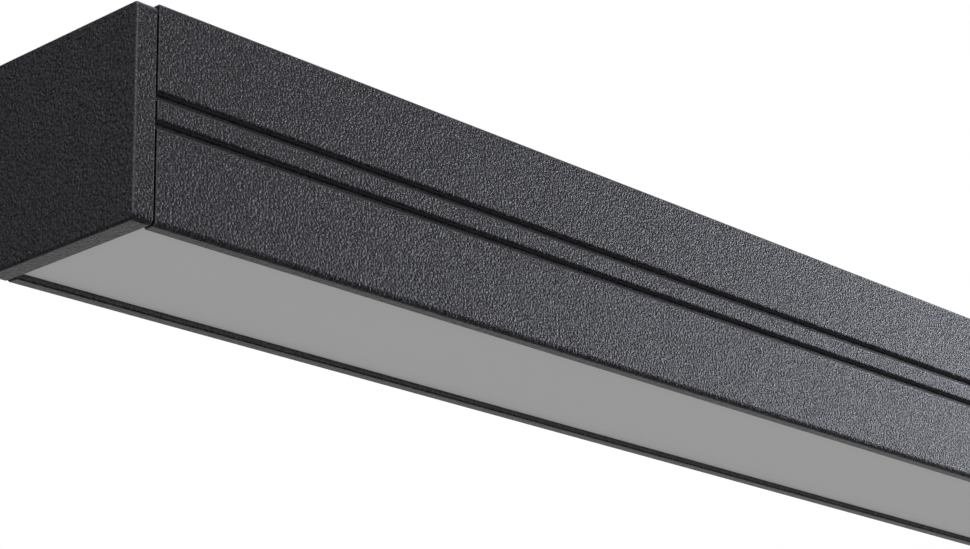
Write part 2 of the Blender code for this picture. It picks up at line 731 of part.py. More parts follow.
def make_transformer():
    # An E core: a winding bulges between the two yokes
    half, side, yoke = TRANSFORMER_LENGTH / 2, TRANSFORMER_WIDTH / 2, TRANSFORMER_YOKE
    inset = TRANSFORMER_WAIST
    waist = half - yoke
    plan = [
        (half, -side, 0), (half, side, 0), (waist, side, 0), (waist, side - inset, inset),
        (-waist, side - inset, inset), (-waist, side, 0), (-half, side, 0), (-half, -side, 0),
        (-waist, -side, 0), (-waist, inset - side, inset), (waist, inset - side, inset), (waist, -side, 0),
    ]
    mesh = prism(plan, 0, part_height, "Z")
    add("driver_transformer", mesh, "ferrite", (DRIVER_X + TRANSFORMER_X, 0, part_low))


# Mains terminal block and its release buttons

def make_terminal_block():
    half = TERMINAL_LENGTH / 2
    height = terminal_top - terminal_low
    corners = [
        (-half, 0, 0),
        (half + TERMINAL_FLANGE, 0, 0),
        (half + TERMINAL_FLANGE, TERMINAL_FLANGE_HEIGHT, 0),
        (half, TERMINAL_FLANGE_HEIGHT, 0),
        (half, TERMINAL_SHOULDER, 0),
        (half - TERMINAL_SLOPE, height, 0),
        (TERMINAL_SLOPE - half, height, 0),
        (-half, TERMINAL_SHOULDER, 0),
    ]
    mesh = prism(corners, -driver_half_width, driver_half_width, "Y")
    block = add("terminal_block", mesh, "grey_nylon", (terminal_x, 0, terminal_low))
    radius = MAINS_LEAD / 2 + FIT
    well_x, well_y = BUTTON_LENGTH / 2 + FIT, BUTTON_WIDTH / 2 + FIT
    cutters = [cylinder(screw_hole, -FIT, height, "Z", (half + TERMINAL_FLANGE / 2, 0))]
    for y in poles.values():
        cutters.append(box((-well_x, y - well_y, height - button_well), (well_x, y + well_y, height + FIT)))
        cutters.append(cylinder(radius, -half - FIT, TERMINAL_ENTRY - half, "X", (y, ENTRY_HEIGHT)))
        if y:
            cutters.append(cylinder(radius, half - TERMINAL_ENTRY, half + FIT, "X", (y, ENTRY_HEIGHT)))
    cut(block, *cutters)


def make_button(name, y):
    rings = []
    for height, inset in ((-BUTTON_HEIGHT, 0), (-BUTTON_EDGE, 0), (0, BUTTON_EDGE)):
        half, side = BUTTON_LENGTH / 2 - inset, BUTTON_WIDTH / 2 - inset
        corners = [(half, side), (-half, side), (-half, -side), (half, -side)]
        rings.append([(*corner, height) for corner in corners])
    add(name, loft(rings), "orange_nylon", (terminal_x, y, terminal_top + BUTTON_PROUD))


def make_earth_tag():
    # A ring with a tongue that ends in a crimp barrel, drawn about the screw
    low = web_high + FIT
    ring = EARTH_TAG / 2
    bore = MAINS_LEAD / 2 + FIT
    barrel = bore + EARTH_TAG_SHEET
    reach = EARTH_TAG
    neck = math.degrees(math.asin(barrel / ring))
    tongue = [(reach, -barrel, 0), (reach, barrel, 0), *arc(0, 0, ring, neck, 360 - neck, ROUND_STEPS)]
    tag = add("earth_tag", prism(tongue, low, low + EARTH_TAG_SHEET, "Z"), "tinned_copper", (earth_x, 0, 0))
    middle = low + barrel
    fuse(tag, cylinder(barrel, reach - EARTH_TAG_SHEET, reach + EARTH_BARREL, "X", (0, middle)))
    cut(
        tag,
        cylinder(screw_hole, low - FIT, low + EARTH_TAG, "Z"),
        cylinder(bore, reach + EARTH_TAG_SHEET, reach + 2 * EARTH_BARREL, "X", (0, middle)),
    )


# Leads: a smooth curve through the points of each route

def smooth_route(points, spacing):
    points = [Vector(point) for point in points]
    ends = [2 * points[0] - points[1], *points, 2 * points[-1] - points[-2]]
    path = [points[0]]
    for before, start, end, after in zip(ends, ends[1:], ends[2:], ends[3:]):
        steps = max(1, round((end - start).length / spacing))
        for step in range(1, steps + 1):
            t = step / steps
            path.append(0.5 * (
                2 * start + (end - before) * t
                + (2 * before - 5 * start + 4 * end - after) * t ** 2
                + (3 * start - before - 3 * end + after) * t ** 3
            ))
    return path


def make_lead(name, route, diameter, finish_name):
    path = smooth_route(route, ROUTE_STEP * diameter)
    curve = bpy.data.curves.new(name, "CURVE")
    curve.dimensions = "3D"
    curve.bevel_depth = diameter / 2
    curve.bevel_resolution = 2
    curve.use_fill_caps = True
    spline = curve.splines.new("POLY")
    spline.points.add(len(path) - 1)
    for place, point in zip(spline.points, path):
        place.co = (*point, 1)
    curve.materials.append(finish(finish_name))
    lead = bpy.data.objects.new(name, curve)
    lead.parent = hanger
    bpy.context.scene.collection.objects.link(lead)


def make_led_leads():
    turn_high = web_high + GROMMET_LIP + 2 * FIT + LEAD / 2
    radius = (turn_high - lead_low) / 2
    middle = (turn_high + lead_low) / 2
    turn_x = LEAD_LEAN * radius - grommet_x
    on_circuit = part_low + LEAD / 2
    plug_x = -board_x - board_length / 2 + CONNECTOR_INSET
    for name, side, colour in (("led_lead_plus", 1, "red_lead"), ("led_lead_minus", -1, "black_lead")):
        y = side * LEAD_SPACING / 2
        route = [
            (driver_left + 10 * MM, y, on_circuit),
            (driver_left - 8 * MM, y, on_circuit),
            (driver_left - 20 * MM, y, (on_circuit + lead_high) / 2),
            (driver_left - 34 * MM, y, lead_high),
            ((driver_left + turn_x) / 2, y, lead_high),
            (turn_x + 28 * MM, y, lead_high),
        ]
        for step in range(LEAD_TURN_STEPS + 1):
            angle = math.pi * step / LEAD_TURN_STEPS
            route.append((turn_x - radius * math.sin(angle), y, middle + radius * math.cos(angle)))
        route.append((plug_x + CONNECTOR_ENTRY - FIT, y, lead_low))
        make_lead(name, route, LEAD, colour)


def make_link_leads():
    entry = BOARD_SPLIT / 2 + CONNECTOR_INSET
    inside = entry + CONNECTOR_ENTRY - FIT
    for name, side, colour in (("link_lead_plus", 1, "red_lead"), ("link_lead_minus", -1, "black_lead")):
        y = side * LEAD_SPACING / 2
        route = [(x, y, lead_low) for x in (-inside, -entry, entry, inside)]
        make_lead(name, route, LEAD, colour)


def make_mains_leads():
    block_left = terminal_x - TERMINAL_LENGTH / 2
    inside = block_left + TERMINAL_ENTRY - FIT
    on_circuit = part_low + MAINS_LEAD / 2
    low = web_high + FIT + MAINS_LEAD / 2
    for pole, colour in (("live", "brown_lead"), ("neutral", "blue_lead")):
        y = poles[pole]
        near = math.copysign(MAINS_LEAD_SPACING / 2, y)
        route = [
            (inside, y, entry_z),
            (block_left - 2 * MM, y, entry_z),
            (block_left - 14 * MM, y, low),
            (block_left - 26 * MM, y, low),
            (driver_right + 14 * MM, (y + near) / 2, low + 1.5 * MM),
            (driver_right + 3 * MM, near, on_circuit),
            (driver_right - 12 * MM, near, on_circuit),
        ]
        make_lead(pole + "_lead", route, MAINS_LEAD, colour)
    barrel_end = earth_x + EARTH_TAG + EARTH_TAG_SHEET + FIT
    barrel_z = web_high + FIT + MAINS_LEAD / 2 + FIT + EARTH_TAG_SHEET
    route = [
        (inside, 0, entry_z),
        (block_left - 2 * MM, 0, entry_z),
        (barrel_end + EARTH_BARREL + 2 * MM, 0, barrel_z),
        (barrel_end, 0, barrel_z),
    ]
    make_lead("earth_lead", route, MAINS_LEAD, "green_lead")


for leftover in list(bpy.data.objects):
    bpy.data.objects.remove(leftover)

hanger = bpy.data.objects.new("ceiling_plane", None)
hanger.location = (0, 0, -ceiling)
bpy.context.scene.collection.objects.link(hanger)

make_body()
make_end_cap("end_cap_left", -1)
make_end_cap("end_cap_right", 1)
make_diffuser()
make_reflector_tray()
make_led_board("led_board_left", -board_x)
make_led_board("led_board_right", board_x)
board_end = board_length / 2 - CONNECTOR_INSET - CONNECTOR_LENGTH / 2
make_connector("connector_in", -board_x - board_end, 0)
make_connector("connector_link_left", -board_x + board_end, math.pi)
make_connector("connector_link_right", board_x - board_end, 0)
make_screws()
make_grommet()
make_ceiling_clip("ceiling_clip_left", -CLIP_X)
make_ceiling_clip("ceiling_clip_right", CLIP_X)
make_driver_base()
make_driver_cover()
make_driver_circuit()
make_terminal_block()
for pole_name, pole_y in poles.items():
    make_button("button_" + pole_name, pole_y)
make_earth_tag()
make_led_leads()
make_link_leads()
make_mains_leads()
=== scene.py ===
import json
import math
import bmesh
import bpy
from mathutils import Matrix, Vector


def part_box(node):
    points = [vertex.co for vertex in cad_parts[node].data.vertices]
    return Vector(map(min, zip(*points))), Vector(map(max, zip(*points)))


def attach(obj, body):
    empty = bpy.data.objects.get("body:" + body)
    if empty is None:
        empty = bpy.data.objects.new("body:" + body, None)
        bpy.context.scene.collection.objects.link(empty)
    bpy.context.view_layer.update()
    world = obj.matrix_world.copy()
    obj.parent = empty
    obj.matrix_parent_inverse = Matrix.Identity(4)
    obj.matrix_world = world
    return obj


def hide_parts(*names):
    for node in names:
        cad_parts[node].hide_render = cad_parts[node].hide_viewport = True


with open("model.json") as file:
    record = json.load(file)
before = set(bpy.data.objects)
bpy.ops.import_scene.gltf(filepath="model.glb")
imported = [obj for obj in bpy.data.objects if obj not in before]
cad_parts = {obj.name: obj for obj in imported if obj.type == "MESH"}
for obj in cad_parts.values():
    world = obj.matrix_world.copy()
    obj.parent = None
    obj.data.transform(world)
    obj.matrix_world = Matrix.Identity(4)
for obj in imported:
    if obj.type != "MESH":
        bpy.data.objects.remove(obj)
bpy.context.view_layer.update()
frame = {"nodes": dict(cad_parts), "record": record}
nodes = frame["nodes"]
slotOf = {sub["node"]: sub["material_slot"] for sub in frame["record"]["subparts"]}
bodyOf = {node: name for name, members in frame["record"]["behaviour"]["bodies"].items() for node in members}
mm = 0.001
noiseSpan = (0.3, 0.7)  # nearly all values of a noise texture lie between these
scene = bpy.context.scene
scene.view_settings.view_transform = "Standard"
print("frame:", len(nodes), "nodes")


# Small helpers that every material and piece below uses

def linear(hexColour):
    # sRGB hex to the linear colour that shaders take
    parts = [int(hexColour[i:i + 2], 16) / 255 for i in (1, 3, 5)]
    return [c / 12.92 if c <= 0.04045 else ((c + 0.055) / 1.055) ** 2.4 for c in parts] + [1]


def perMetre(sizeMm):
    # texture scale that repeats about once in this many millimetres
    return 1 / (sizeMm * mm)


def newMaterial(name):
    material = bpy.data.materials.new(name)
    material.use_nodes = True
    return material, material.node_tree


def addNode(tree, kind, settings=None, links=None):
    # lower-case settings are the node's own options, the others are its sockets
    node = tree.nodes.get("Principled BSDF") if kind == "ShaderNodeBsdfPrincipled" else tree.nodes.new(kind)
    for key, value in (settings or {}).items():
        if isinstance(key, str) and key[0].islower():
            setattr(node, key, value)
        else:
            node.inputs[key].default_value = value
    for key, source in (links or {}).items():
        tree.links.new(source, node.inputs[key])
    return node


# Camera: placed by a fit of the body's edges to the picture, 970 by 549 pixels

cameraPlace = {
    "lensMm": 94.54,
    "sensorMm": 36,
    "fromCap": (-216.71, -283.58, -127.32),  # mm from the left cap's outer face, the middle and the lower rim
    "yaw": 47.521,
    "pitch": 19.095,
    "roll": 1.402,
    "clip": (0.01, 100),  # m
}


def addCamera(place):
    yaw, pitch, roll = (math.radians(place[key]) for key in ("yaw", "pitch", "roll"))
    ahead = Vector((math.sin(yaw) * math.cos(pitch), math.cos(yaw) * math.cos(pitch), math.sin(pitch)))
    level = Vector((math.cos(yaw), -math.sin(yaw), 0))
    down = ahead.cross(level)
    right = math.cos(roll) * level + math.sin(roll) * down
    up = math.sin(roll) * level - math.cos(roll) * down
    data = bpy.data.cameras.new("photoCamera")
    data.lens, data.sensor_width = place["lensMm"], place["sensorMm"]
    data.clip_start, data.clip_end = place["clip"]
    camera = bpy.data.objects.new("photoCamera", data)
    start = Vector((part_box("end_cap_left")[0].x, 0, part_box("body")[0].z))
    spot = start + Vector(place["fromCap"]) * mm
    turn = Matrix((right, up, -ahead)).transposed().to_4x4()
    camera.matrix_world = Matrix.Translation(spot) @ turn
    scene.collection.objects.link(camera)
    scene.camera = camera


addCamera(cameraPlace)
print("camera ready")


# Structured powder coat: polyester powder sprayed on aluminium and baked, which draws up into fine hard
# pebbles. The eye gets a satin charcoal whose pebbles are lit on one side and shaded on the other, and a
# sheen at low angles. The relief is drawn deeper than the real 0.05 mm, so that it shows at this distance.
# The colour adds painted shade and painted light to the relief: darker in the valleys, lighter on the crowns.

powderCoat = {
    "name": "structuredPowderCoat",
    # the valley colour is painted shade and the crown colour is painted light on the pebbles
    "valley": "#0e0d0f",
    "crown": "#3e3c41",
    "crownFrom": noiseSpan,  # the lowest valley and the highest crown of the noise
    "pebbleMm": 0.46,
    "swellMm": 3.5,
    "swellShare": 0.6,
    "reliefMm": 0.17,
    "roughness": (0.28, 0.44),  # crown, valley
    "specular": 0.2,  # the pebbles shade each other, so the coat shines less than smooth polyester
}


def structuredPowderCoat(look):
    material, tree = newMaterial(look["name"])
    place = addNode(tree, "ShaderNodeTexCoord").outputs["Object"]
    pebble = addNode(tree, "ShaderNodeTexNoise", {
        "Scale": perMetre(look["pebbleMm"]), "Detail": 1.5, "Roughness": 0.5,
    }, {"Vector": place})
    swell = addNode(tree, "ShaderNodeTexNoise", {
        "Scale": perMetre(look["swellMm"]), "Detail": 2, "Roughness": 0.5,
    }, {"Vector": place})
    crown = addNode(tree, "ShaderNodeMapRange", {
        "From Min": look["crownFrom"][0], "From Max": look["crownFrom"][1],
    }, {"Value": pebble.outputs["Fac"]})
    height = addNode(tree, "ShaderNodeMath", {"operation": "MULTIPLY_ADD", 1: look["swellShare"]},
                     {0: swell.outputs["Fac"], 2: crown.outputs["Result"]})
    # painted shade and light: the colour runs from dark in the pebbles' valleys to light on their crowns
    colour = addNode(tree, "ShaderNodeValToRGB", links={"Fac": crown.outputs["Result"]})
    colour.color_ramp.elements[0].color = linear(look["valley"])
    colour.color_ramp.elements[1].color = linear(look["crown"])
    rough = addNode(tree, "ShaderNodeMapRange", {
        "To Min": look["roughness"][1], "To Max": look["roughness"][0],
    }, {"Value": crown.outputs["Result"]})
    bump = addNode(tree, "ShaderNodeBump", {"Strength": 1, "Distance": look["reliefMm"] * mm},
                   {"Height": height.outputs["Value"]})
    addNode(tree, "ShaderNodeBsdfPrincipled", {"IOR": 1.5, "Specular IOR Level": look["specular"]}, {
        "Base Color": colour.outputs["Color"], "Roughness": rough.outputs["Result"],
        "Normal": bump.outputs["Normal"],
    })
    return material


# The same powder on rims and on rounded edges that do not face down: it lies thin and smooth there, so an
# edge catches a lamp as a fine line. Its lighter colour is painted light: a painted highlight along the edges
# and on the rims.
coatOnEdgesPaintedLight = {
    # lighter colours than the broad faces: painted highlight on the edges and painted light on the rims
    **powderCoat, "name": "powderCoatOnEdges", "valley": "#242325", "crown": "#48474b",
    "reliefMm": 0.05, "roughness": (0.26, 0.38), "specular": 0.36,
}
# On rounded edges that face down and on the body's sawn ends, which face the caps across a narrow gap: a
# darker, duller copy of the coat, painted shade. The down-facing edges turn away from the light, and the sawn
# ends sit in the gap.
shadedCoatUnderEdges = {
    # darker colours and a low gloss: painted shade
    **powderCoat, "name": "powderCoatUnderEdges", "valley": "#19181a", "crown": "#323134", "specular": 0.07,
}
# On the narrow walls of grooves and rims: a lighter grey copy of the coat, painted light that lifts these
# recessed walls out of their shade
litCoatInGrooves = {
    # lighter colours: painted light in the grooves and on the rim walls
    **powderCoat, "name": "powderCoatInGrooves", "valley": "#363538", "crown": "#59585c",
    "reliefMm": 0.04, "roughness": (0.36, 0.48), "specular": 0.3,
}


# Opal acrylic: a co-extruded sheet with white filler and a satin face. The eye gets an even, soft grey-white
# with no grain, because light sinks into the filler and comes back from all over.

opalSheet = {
    "colours": ("#d0d0d0", "#d3d3d3"),
    "hazeMm": 60,
    "satinMm": 0.3,
    "reliefMm": 0.003,
    "roughness": (0.46, 0.54),
    "depthMm": 2.0,
}


def opalAcrylic(look):
    material, tree = newMaterial("opalAcrylic")
    place = addNode(tree, "ShaderNodeTexCoord").outputs["Object"]
    haze = addNode(tree, "ShaderNodeTexNoise", {
        "Scale": perMetre(look["hazeMm"]), "Detail": 2,
    }, {"Vector": place})
    satin = addNode(tree, "ShaderNodeTexNoise", {
        "Scale": perMetre(look["satinMm"]), "Detail": 1,
    }, {"Vector": place})
    colour = addNode(tree, "ShaderNodeValToRGB", links={"Fac": haze.outputs["Fac"]})
    colour.color_ramp.elements[0].color = linear(look["colours"][0])
    colour.color_ramp.elements[1].color = linear(look["colours"][1])
    rough = addNode(tree, "ShaderNodeMapRange", {
        "To Min": look["roughness"][0], "To Max": look["roughness"][1],
    }, {"Value": haze.outputs["Fac"]})
    bump = addNode(tree, "ShaderNodeBump", {"Strength": 1, "Distance": look["reliefMm"] * mm},
                   {"Height": satin.outputs["Fac"]})
    addNode(tree, "ShaderNodeBsdfPrincipled", {
        "IOR": 1.49, "Subsurface Weight": 0.3, "Subsurface Radius": (1, 1, 1),
        "Subsurface Scale": look["depthMm"] * mm,
    }, {"Base Color": colour.outputs["Color"], "Roughness": rough.outputs["Result"],
        "Normal": bump.outputs["Normal"]})
    return material


# Plain finishes: two colours that drift into each other like a cloud, a finer grain in the gloss and the
# relief, and for rolled or drawn stock a grain that is stretched along the length

def grainedFinish(name, look):
    material, tree = newMaterial(name)
    place = addNode(tree, "ShaderNodeTexCoord").outputs["Object"]
    drawn = addNode(tree, "ShaderNodeMapping", {"Scale": look.get("draw", (1, 1, 1))}, {"Vector": place})
    cloud = addNode(tree, "ShaderNodeTexNoise", {
        "Scale": perMetre(look["cloudMm"]), "Detail": 3, "Roughness": 0.55,
    }, {"Vector": drawn.outputs["Vector"]})
    grain = addNode(tree, "ShaderNodeTexNoise", {
        "Scale": perMetre(look["grainMm"]), "Detail": 2, "Roughness": 0.6,
    }, {"Vector": drawn.outputs["Vector"]})
    colour = addNode(tree, "ShaderNodeValToRGB", links={"Fac": cloud.outputs["Fac"]})
    for element, stop, tone in zip(colour.color_ramp.elements, noiseSpan, look["colours"]):
        element.position = stop
        element.color = linear(tone)
    rough = addNode(tree, "ShaderNodeMapRange", {
        "From Min": noiseSpan[0], "From Max": noiseSpan[1],
        "To Min": look["roughness"][0], "To Max": look["roughness"][1],
    }, {"Value": grain.outputs["Fac"]})
    bump = addNode(tree, "ShaderNodeBump", {"Strength": 1, "Distance": look["reliefMm"] * mm},
                   {"Height": grain.outputs["Fac"]})
    addNode(tree, "ShaderNodeBsdfPrincipled", look.get("shader"), {
        "Base Color": colour.outputs["Color"], "Roughness": rough.outputs["Result"],
        "Normal": bump.outputs["Normal"],
    })
    return material


# White polyester enamel stoved on folded steel: a bright even white with a faint orange peel in its gloss
reflectorEnamel = {
    "colours": ("#e6e6e2", "#eeeeeb"), "cloudMm": 30, "grainMm": 2.2, "reliefMm": 0.03,
    "roughness": (0.32, 0.44), "shader": {"IOR": 1.5},
}
# Bright zinc plate on cold-rolled steel: cool pale grey, with rolling lines drawn at 0.4 mm so that they show
zincPlate = {
    "colours": ("#a9adb3", "#c6c9cd"), "cloudMm": 9, "grainMm": 0.4, "reliefMm": 0.006,
    "roughness": (0.28, 0.46), "draw": (0.08, 1, 1), "shader": {"Metallic": 1},
}
# Tempered spring strip, cold drawn and oiled: a darker, glossier grey with lines along the strip
springStrip = {
    "colours": ("#8f8e8d", "#adacab"), "cloudMm": 14, "grainMm": 0.35, "reliefMm": 0.005,
    "roughness": (0.22, 0.36), "draw": (0.05, 1, 1), "shader": {"Metallic": 1},
}
# Copper dipped in tin: a warm, slightly blotchy silver where the tin ran and set
tinnedCopper = {
    "colours": ("#bdb6a8", "#d9d4c9"), "cloudMm": 1.6, "grainMm": 0.5, "reliefMm": 0.015,
    "roughness": (0.2, 0.38), "shader": {"Metallic": 1},
}
# Sintered manganese-zinc ferrite, tumbled: a dull grey-black ceramic with a fine pressed grain
sinteredFerrite = {
    "colours": ("#242427", "#3b3b3f"), "cloudMm": 4, "grainMm": 0.3, "reliefMm": 0.03,
    "roughness": (0.55, 0.75), "shader": {"IOR": 1.8},
}
# Heat-shrunk PVC sleeve on a can: glossy navy that draws into faint waves where it tightened
shrinkSleeve = {
    "colours": ("#1c2740", "#26355a"), "cloudMm": 8, "grainMm": 1.8, "reliefMm": 0.04,
    "roughness": (0.2, 0.32), "shader": {"IOR": 1.53},
}
# Moulded nylon: the tool's spark-eroded skin gives a soft even sheen; drawn at 0.35 mm so that it shows
whiteNylon = {
    "colours": ("#dedcd4", "#e8e6df"), "cloudMm": 6, "grainMm": 0.35, "reliefMm": 0.012,
    "roughness": (0.4, 0.56), "shader": {"IOR": 1.53, "Subsurface Weight": 0.15, "Subsurface Scale": 0.0008},
}
greyNylon = {
    "colours": ("#8d9093", "#9a9da0"), "cloudMm": 7, "grainMm": 0.35, "reliefMm": 0.014,
    "roughness": (0.42, 0.58), "shader": {"IOR": 1.53},
}
orangeNylon = {
    "colours": ("#d9722b", "#e58136"), "cloudMm": 5, "grainMm": 0.35, "reliefMm": 0.012,
    "roughness": (0.38, 0.52), "shader": {"IOR": 1.53, "Subsurface Weight": 0.1, "Subsurface Scale": 0.0006},
}
# Nitrile rubber pressed in a blasted tool: dull black with a dusty bloom
nitrileRubber = {
    "colours": ("#161616", "#232322"), "cloudMm": 3, "grainMm": 0.25, "reliefMm": 0.02,
    "roughness": (0.66, 0.85), "shader": {"IOR": 1.52},
}
# PVC insulation extruded on wire: a soft gloss with faint die lines along the lead
insulation = {
    "cloudMm": 5, "grainMm": 0.5, "reliefMm": 0.01, "roughness": (0.3, 0.44), "draw": (0.12, 1, 1),
    "shader": {"IOR": 1.54},
}
leadColours = {
    "brown_lead": ("#5a3722", "#67412a"), "blue_lead": ("#2b599f", "#3767b0"),
    "red_lead": ("#a92320", "#b92d28"), "black_lead": ("#1c1c1d", "#28282a"),
}
# Silicone with yellow phosphor, dosed into the package: a glossy wet-looking yellow
phosphorSilicone = {
    "colours": ("#d8b43c", "#e6c452"), "cloudMm": 1.2, "grainMm": 0.3, "reliefMm": 0.008,
    "roughness": (0.16, 0.3), "shader": {"IOR": 1.41, "Subsurface Weight": 0.2, "Subsurface Scale": 0.0005},
}
# White thermoplastic of the LED package: moulded and bright, to throw the light out
packageWhite = {
    "colours": ("#ecebe6", "#f3f2ee"), "cloudMm": 1.5, "grainMm": 0.3, "reliefMm": 0.008,
    "roughness": (0.4, 0.52), "shader": {"IOR": 1.53},
}


# Earth insulation: the same PVC, extruded in two colours side by side

earthStripes = {
    "green": "#3d8a35", "yellow": "#d8c22c", "softMm": 0.12,
    "lineMm": 0.5, "roughness": (0.3, 0.44),
}


def stripedInsulation(look):
    material, tree = newMaterial("stripedInsulation")
    place = addNode(tree, "ShaderNodeTexCoord").outputs["Object"]
    across = addNode(tree, "ShaderNodeSeparateXYZ", links={"Vector": place})
    side = addNode(tree, "ShaderNodeMapRange", {
        "From Min": -look["softMm"] * mm, "From Max": look["softMm"] * mm,
    }, {"Value": across.outputs["Y"]})
    colour = addNode(tree, "ShaderNodeValToRGB", links={"Fac": side.outputs["Result"]})
    colour.color_ramp.elements[0].color = linear(look["green"])
    colour.color_ramp.elements[1].color = linear(look["yellow"])
    lines = addNode(tree, "ShaderNodeTexNoise", {
        "Scale": perMetre(look["lineMm"]), "Detail": 2,
    }, {"Vector": place})
    rough = addNode(tree, "ShaderNodeMapRange", {
        "To Min": look["roughness"][0], "To Max": look["roughness"][1],
    }, {"Value": lines.outputs["Fac"]})
    addNode(tree, "ShaderNodeBsdfPrincipled", {"IOR": 1.54}, {
        "Base Color": colour.outputs["Color"], "Roughness": rough.outputs["Result"],
    })
    return material


# Solder mask: ink printed over copper areas. The copper stands a little proud, so the eye finds its edges as
# fine steps in the gloss; the steps are drawn twice as high as real ones so that they show.

whiteMask = {
    "name": "whiteSolderMask", "copper": "#e9e9e4", "gap": "#dcdcd6", "areaMm": (8.0, 5.2), "gapMm": 0.3,
    "grainMm": 0.4, "grainShare": 0.1, "reliefMm": 0.07, "roughness": (0.36, 0.5),
}
greenMask = {
    "name": "greenSolderMask", "copper": "#1f6a45", "gap": "#123f2b", "areaMm": (11.0, 2.4), "gapMm": 0.4,
    "grainMm": 0.5, "grainShare": 0.1, "reliefMm": 0.07, "roughness": (0.3, 0.44),
}


def solderMask(look):
    material, tree = newMaterial(look["name"])
    place = addNode(tree, "ShaderNodeTexCoord").outputs["Object"]
    copper = addNode(tree, "ShaderNodeTexBrick", {
        "offset": 0.5, "Color1": linear(look["copper"]), "Color2": linear(look["copper"]),
        "Mortar": linear(look["gap"]), "Scale": perMetre(1), "Brick Width": look["areaMm"][0],
        "Row Height": look["areaMm"][1], "Mortar Size": look["gapMm"] / 2, "Mortar Smooth": 0.4,
    }, {"Vector": place})
    grain = addNode(tree, "ShaderNodeTexNoise", {
        "Scale": perMetre(look["grainMm"]), "Detail": 2,
    }, {"Vector": place})
    rough = addNode(tree, "ShaderNodeMapRange", {
        "To Min": look["roughness"][0], "To Max": look["roughness"][1],
    }, {"Value": grain.outputs["Fac"]})
    step = addNode(tree, "ShaderNodeMath", {"operation": "MULTIPLY_ADD", 1: look["grainShare"]},
                   {0: grain.outputs["Fac"], 2: copper.outputs["Fac"]})
    bump = addNode(tree, "ShaderNodeBump", {
        "invert": True, "Strength": 1, "Distance": look["reliefMm"] * mm,
    }, {"Height": step.outputs["Value"]})
    addNode(tree, "ShaderNodeBsdfPrincipled", {"IOR": 1.55}, {
        "Base Color": copper.outputs["Color"], "Roughness": rough.outputs["Result"],
        "Normal": bump.outputs["Normal"],
    })
    return material


finishes = {
    "textured_black": structuredPowderCoat(powderCoat),
    "opal_acrylic": opalAcrylic(opalSheet),
    "white_sheet": grainedFinish("reflectorEnamel", reflectorEnamel),
    "white_board": solderMask(whiteMask),
    "zinc_steel": grainedFinish("zincPlatedSteel", zincPlate),
    "spring_steel": grainedFinish("temperedSpringSteel", springStrip),
    "tinned_copper": grainedFinish("tinnedCopper", tinnedCopper),
    "green_board": solderMask(greenMask),
    "ferrite": grainedFinish("sinteredFerrite", sinteredFerrite),
    "sleeve_blue": grainedFinish("shrinkSleeve", shrinkSleeve),
    "white_nylon": grainedFinish("mouldedWhiteNylon", whiteNylon),
    "grey_nylon": grainedFinish("mouldedGreyNylon", greyNylon),
    "orange_nylon": grainedFinish("mouldedOrangeNylon", orangeNylon),
    "black_rubber": grainedFinish("nitrileRubber", nitrileRubber),
    "green_lead": stripedInsulation(earthStripes),
}
for slotName, tones in leadColours.items():
    finishName = slotName.replace("_lead", "Insulation")
    finishes[slotName] = grainedFinish(finishName, {**insulation, "colours": tones})
# copies of the coat: painted highlight on edges and rims, painted shade under edges, painted light in grooves
litAndShadedEdgeCoats = [structuredPowderCoat(look) for look in (coatOnEdgesPaintedLight, shadedCoatUnderEdges, litCoatInGrooves)]
phosphor = grainedFinish("phosphorSilicone", phosphorSilicone)
package = grainedFinish("packageWhite", packageWhite)
print("materials:", len(bpy.data.materials))


# Pieces: each CAD node's own outline with softened edges, smooth where the real one is round

softEdgeMm = {
    "body": 0.2, "end_cap": 0.15, "diffuser": 0.1, "reflector_tray": 0.1, "led_board": 0.05,
    "connector": 0.08, "ceiling_clip": 0.12, "driver_base": 0.1, "driver_cover": 0.12,
    "driver_circuit": 0.06, "driver_transformer": 0.25, "driver_choke": 0.2, "driver_capacitor": 0.6,
    "terminal_block": 0.12, "earth_tag": 0.08, "button": 0.08,
}
weldDistance = 0.0005 * mm
closeCornersMm = {"driver_base": 0.09, "terminal_block": 0.05}  # nearer ones leave no room for soft edges
flatAngle = math.radians(0.4)
sharpAngle = math.radians(38)
cutEndAngle = math.radians(60)


def camel(nodeName):
    # a node of one word would share its name with its piece, so these two have names of their own
    if nodeName in ("body", "diffuser"):
        return {"body": "extrudedBody", "diffuser": "opalDiffuser"}[nodeName]
    first, *rest = nodeName.split("_")
    return first + "".join(word.title() for word in rest)


def newPiece(name, mesh, body, slot, finish, *replaced):
    mesh.materials.clear()
    mesh.materials.append(finish)
    piece = bpy.data.objects.new(name, mesh)
    scene.collection.objects.link(piece)
    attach(piece, body)
    if replaced:
        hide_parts(*replaced)
    return piece


def meshOf(name, shape):
    mesh = bpy.data.meshes.new(name)
    shape.to_mesh(mesh)
    shape.free()
    mesh.shade_smooth()
    return mesh


def nodeShape(nodeName):
    shape = bmesh.new()
    shape.from_mesh(nodes[nodeName].data)
    close = closeCornersMm[nodeName] * mm if nodeName in closeCornersMm else weldDistance
    bmesh.ops.remove_doubles(shape, verts=shape.verts, dist=close)
    bmesh.ops.dissolve_limit(shape, angle_limit=flatAngle, verts=shape.verts, edges=shape.edges)
    return shape


def soften(piece, widthMm):
    soft = piece.modifiers.new("softEdges", "BEVEL")
    soft.width = widthMm * mm
    soft.segments = 3
    soft.limit_method = "ANGLE"
    soft.angle_limit = sharpAngle
    soft.harden_normals = True
    soft.use_clamp_overlap = False  # else the closest corners would thin out all the edges of the piece
    even = piece.modifiers.new("flatFaces", "WEIGHTED_NORMAL")
    even.keep_sharp = True


def standIn(nodeName, mesh):
    # a piece that stands where the node of the same name is
    slot = slotOf[nodeName]
    return newPiece(camel(nodeName), mesh, bodyOf[nodeName], slot, finishes[slot], nodeName)


